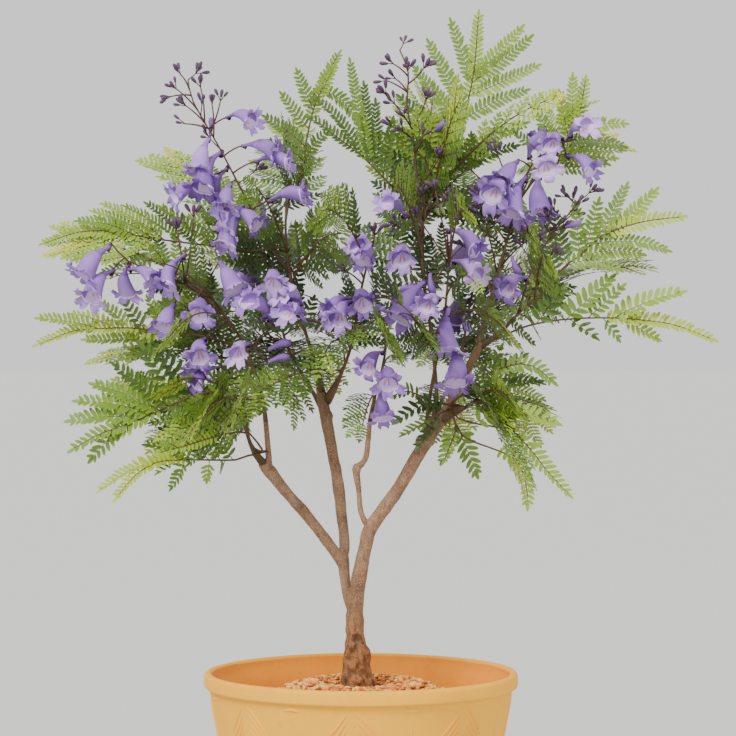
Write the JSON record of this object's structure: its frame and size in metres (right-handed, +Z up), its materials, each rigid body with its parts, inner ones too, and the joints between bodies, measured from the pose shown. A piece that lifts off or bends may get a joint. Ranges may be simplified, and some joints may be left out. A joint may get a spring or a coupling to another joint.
{
  "type": "potted dwarf blue jacaranda tree",
  "caption": "Dwarf blue jacaranda in flower, with ferny foliage and violet trumpet blossom on a forked trunk, standing in a round tapered clay pot filled with soil and gravel.",
  "frame": {"origin": "centre of the pot's flat underside", "axes": "+Z up along the pot's axis, +X to the right and -Y to the front of the plant"},
  "size_m": [0.6349, 0.495, 0.873],
  "materials": {
    "clay": "warm buff fired clay, matt, with a slightly polished rim",
    "gravel": "loose peach-pink gravel chips over potting soil",
    "bark": "rough brown bark with grey speckles",
    "foliage": "ferny green leaflets, yellow-green at the young tips, with violet blossom"
  },
  "bodies": {
    "root": {"pot": "clay", "soil": "gravel", "trunk": "bark", "right_bough": "bark", "upper_bough": "bark", "left_stem": "bark", "middle_bough": "bark", "left_bough": "bark", "left_shoot": "bark", "stub_branch": "bark", "low_left_foliage": "foliage", "left_foliage": "foliage", "upper_left_foliage": "foliage", "centre_foliage": "foliage", "front_foliage": "foliage", "top_foliage": "foliage", "upper_right_foliage": "foliage", "right_foliage": "foliage", "low_right_foliage": "foliage", "front_right_foliage": "foliage", "back_left_foliage": "foliage", "back_right_foliage": "foliage"}
  },
  "joints": []
}
